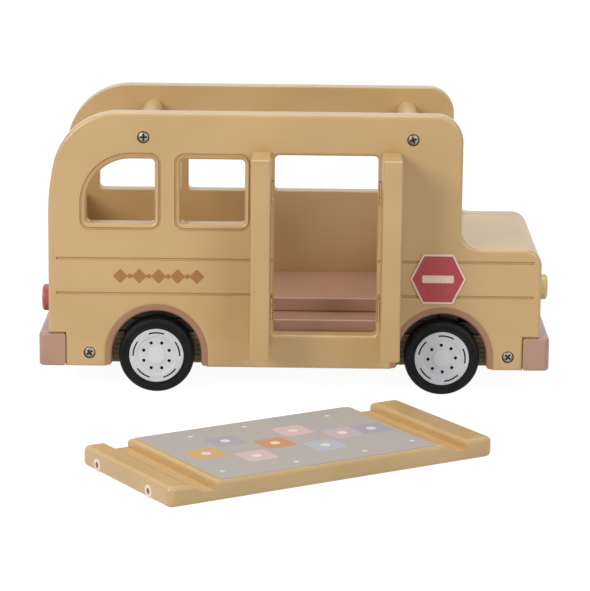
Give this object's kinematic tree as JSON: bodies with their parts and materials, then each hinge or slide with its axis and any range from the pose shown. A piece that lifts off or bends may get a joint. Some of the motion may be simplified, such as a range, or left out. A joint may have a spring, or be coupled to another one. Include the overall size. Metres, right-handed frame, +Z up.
{
  "type": "toy bus",
  "caption": "Wooden toy bus with outward-swinging double doors, rolling wheels, open cabin for peg figures and a roof board that lifts off its dowels to become a play mat.",
  "frame": {"origin": "on the ground, under the middle of the box around the bus and its roof board", "axes": "+Z up, +X towards the front of the bus, -Y towards its door side, where the roof board lies"},
  "size_m": [0.3088, 0.3744, 0.1708],
  "materials": {
    "tan_wood": "satin mustard-tan lacquer over smooth board",
    "terracotta_wood": "satin terracotta lacquer",
    "plain_wood": "plain layered wood, unpainted",
    "headlight_paint": "satin pale yellow lacquer",
    "taillight_paint": "satin red lacquer",
    "sign_paint": "printed red field with a pale border",
    "screw_steel": "zinc-plated cross-head screw",
    "axle_steel": "drawn steel rod",
    "hinge_steel": "small stamped butt hinge, brass plated",
    "tyre_rubber": "matt black rubber",
    "rim_plastic": "off-white moulded rim",
    "cap_plastic": "off-white moulded cap",
    "mat_film": "printed matt film",
    "marker_paint": "printed pale ring with a darker centre"
  },
  "bodies": {
    "body": {"right_side_panel": "tan_wood", "left_side_panel": "tan_wood", "rear_wall": "tan_wood", "front_wall": "tan_wood", "hood_board": "tan_wood", "dash_board": "tan_wood", "base_board": "terracotta_wood", "floor_board": "terracotta_wood", "rear_axle_block": "plain_wood", "front_axle_block": "plain_wood", "rear_dowel": "tan_wood", "front_dowel": "tan_wood", "rear_bumper": "terracotta_wood", "front_bumper": "terracotta_wood", "headlights": "headlight_paint", "taillights": "taillight_paint", "rear_right_arch_liner": "terracotta_wood", "rear_left_arch_liner": "terracotta_wood", "front_right_arch_liner": "terracotta_wood", "front_left_arch_liner": "terracotta_wood", "sign_plate": "sign_paint", "upper_screws": "screw_steel", "lower_screws": "screw_steel", "rear_hinge_plates": "hinge_steel", "front_hinge_plates": "hinge_steel", "rear_hinge_pins": "hinge_steel", "front_hinge_pins": "hinge_steel"},
    "rear_wheelset": {"rear_axle": "axle_steel", "rear_right_tyre": "tyre_rubber", "rear_left_tyre": "tyre_rubber", "rear_right_rim": "rim_plastic", "rear_left_rim": "rim_plastic", "rear_right_hub_cap": "cap_plastic", "rear_left_hub_cap": "cap_plastic"},
    "front_wheelset": {"front_axle": "axle_steel", "front_right_tyre": "tyre_rubber", "front_left_tyre": "tyre_rubber", "front_right_rim": "rim_plastic", "front_left_rim": "rim_plastic", "front_right_hub_cap": "cap_plastic", "front_left_hub_cap": "cap_plastic"},
    "rear_door": {"rear_door_leaf": "tan_wood", "rear_leaf_plates": "hinge_steel"},
    "front_door": {"front_door_leaf": "tan_wood", "front_leaf_plates": "hinge_steel"},
    "roof": {"roof_board": "tan_wood", "play_mat": "mat_film", "roof_markers": "marker_paint"}
  },
  "joints": [
    {"name": "rear_wheels_roll", "type": "hinge", "parent": "body", "child": "rear_wheelset", "pos_m": [-0.08325, 0.12205, 0.0228], "axis": [0, 1, 0], "continuous": true},
    {"name": "front_wheels_roll", "type": "hinge", "parent": "body", "child": "front_wheelset", "pos_m": [0.08935, 0.12205, 0.0228], "axis": [0, 1, 0], "continuous": true},
    {"name": "rear_door_swing", "type": "hinge", "parent": "body", "child": "rear_door", "pos_m": [-0.01435, 0.05785, 0.09095], "axis": [0, 0, 1], "range_deg": [0, 90]},
    {"name": "front_door_swing", "type": "hinge", "parent": "body", "child": "front_door", "pos_m": [0.05095, 0.05785, 0.09095], "axis": [0, 0, 1], "range_deg": [-90, 0]},
    {"name": "roof_lift", "type": "slide", "parent": "body", "child": "roof", "axis": [0, 0, 1], "range_m": [0, 0.25]}
  ]
}
